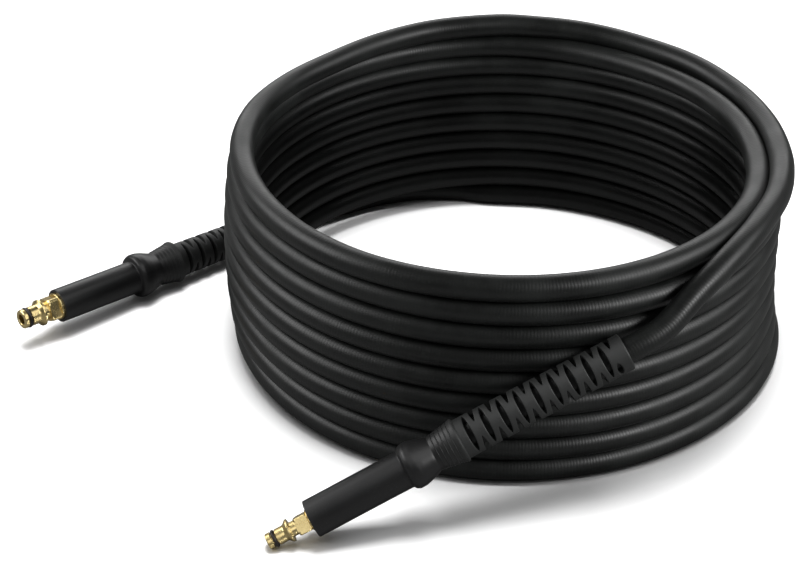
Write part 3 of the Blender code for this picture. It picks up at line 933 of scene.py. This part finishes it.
def softbox(name, azimuth, elevation, distance, size, radiance, lit, blockers):
    """Area light that looks at the coil's middle, with what it lights and what shades it.

    One below the floor stands for the white floor that brass mirrors. The floor would stop a
    mirrored ray on its way to it, so it is sampled as a light only.
    """
    light = bpy.data.lights.new(name, "AREA")
    light.shape = "RECTANGLE"
    light.size, light.size_y = size
    light.energy = radiance * pi * size[0] * size[1]
    light.cycles.use_multiple_importance_sampling = elevation > 0
    box = bpy.data.objects.new(name, light)
    turn, rise = radians(azimuth), radians(elevation)
    way = Vector((cos(rise) * cos(turn), cos(rise) * sin(turn), sin(rise)))
    box.location = Vector(FOOT) + way * distance + Vector((0, 0, AIM_HEIGHT))
    box.rotation_euler = way.to_track_quat("Z", "Y").to_euler()
    box.light_linking.receiver_collection = lit
    box.light_linking.blocker_collection = blockers
    bpy.context.scene.collection.objects.link(box)


def gather(name, items):
    """Collection of objects that a light is meant for."""
    collection = bpy.data.collections.new(name)
    for item in items:
        collection.objects.link(item)
    return collection


def make_flag():
    """Unseen card inside the coil that keeps the side lights off its inner wall, as in a studio."""
    angle = 2 * pi * np.arange(FLAG_SIDES) / FLAG_SIDES
    ring = np.stack([np.cos(angle), np.sin(angle), np.zeros(FLAG_SIDES)], axis=-1) * FLAG_RADIUS
    points = FOOT + np.concatenate([ring, ring + np.array([0.0, 0.0, FLAG_HEIGHT])])
    low = np.arange(FLAG_SIDES)
    on = (low + 1) % FLAG_SIDES
    faces = np.stack([low, on, on + FLAG_SIDES, low + FLAG_SIDES], axis=-1)
    mesh = bpy.data.meshes.new("flag")
    mesh.from_pydata(points.tolist(), [], faces.tolist())
    mesh.materials.append(start_material("flag_black", Base_Color=(0, 0, 0, 1))[0])
    flag = bpy.data.objects.new("flag", mesh)
    bpy.context.scene.collection.objects.link(flag)
    flag.visible_camera = False
    flag.visible_diffuse = False
    flag.visible_glossy = False
    return flag


def make_light(hose, ends, floor):
    """White surroundings seen by the camera, dim ones for the object, and softboxes round it."""
    world = bpy.data.worlds.new("studio")
    bpy.context.scene.world = world
    world.use_nodes = True
    tree = world.node_tree
    strength = seen_directly(tree, WORLD_FILL, 1.0)
    tree.links.new(strength, tree.nodes["Background"].inputs["Strength"])
    tree.nodes["Background"].inputs["Color"].default_value = (1, 1, 1, 1)
    groups = {
        "part": gather("lit_part", [hose, *ends]),
        "floor": gather("lit_floor", [floor]),
        "fittings": gather("lit_fittings", ends),
        "brass": gather("lit_brass", [end for end in ends if "brass" in end.name]),
        "part_and_flag": gather("shading_part_and_flag", [hose, *ends, make_flag()]),
    }
    for *setting, lit, shaded_by in SOFTBOXES:
        softbox(*setting, groups[lit], groups[shaded_by])
    bpy.context.scene.view_settings.view_transform = "Standard"


# The whole object

def make_fitting(end_name, fitting, plug, end, looks):
    """Bend protector, plug, seal and crimped cup of one end."""
    moulded, brass, seal = looks
    protector = protector_mesh("bend_sleeve_" + end_name, fitting, end["slot_turn"], end["stout"])
    plug_piece = plug_mesh("brass_plug_" + end_name, plug, fitting, end["wrench_turn"])
    return [
        put(protector, moulded, ["bend_protector_" + end_name], crease=45.0),
        put(plug_piece, brass, ["plug_" + end_name], crease=25.0),
        put(seal_mesh("seal_" + end_name, plug, fitting), seal, ["o_ring_" + end_name]),
        put(cup_mesh("crimp_cup_" + end_name, plug, fitting), brass,
            ["ferrule_" + end_name]),
    ]


def main():
    """Camera, hose, both fittings, floor and light."""
    make_camera()
    front = Fitting(FRONT_END, FRONT_PLUG)
    rear = Fitting(REAR_END, REAR_PLUG, REAR_RISE)
    scuffs, marks = scuff_group(), run_marks_group()
    line = hose_line(front, rear)
    hose = put(tube("rubber_hose", line, HOSE / 2, HOSE_SIDES), hose_rubber(scuffs, marks),
               ["hose_coil", "hose_lead_front", "hose_lead_rear"], crease=80.0)
    looks = (moulded_black(scuffs), machined_brass(scuffs, marks), seal_rubber(scuffs))
    ends = make_fitting("front", front, FRONT_PLUG, FRONT_END, looks)
    ends += make_fitting("rear", rear, REAR_PLUG, REAR_END, looks)
    make_light(hose, ends, make_floor())


main()
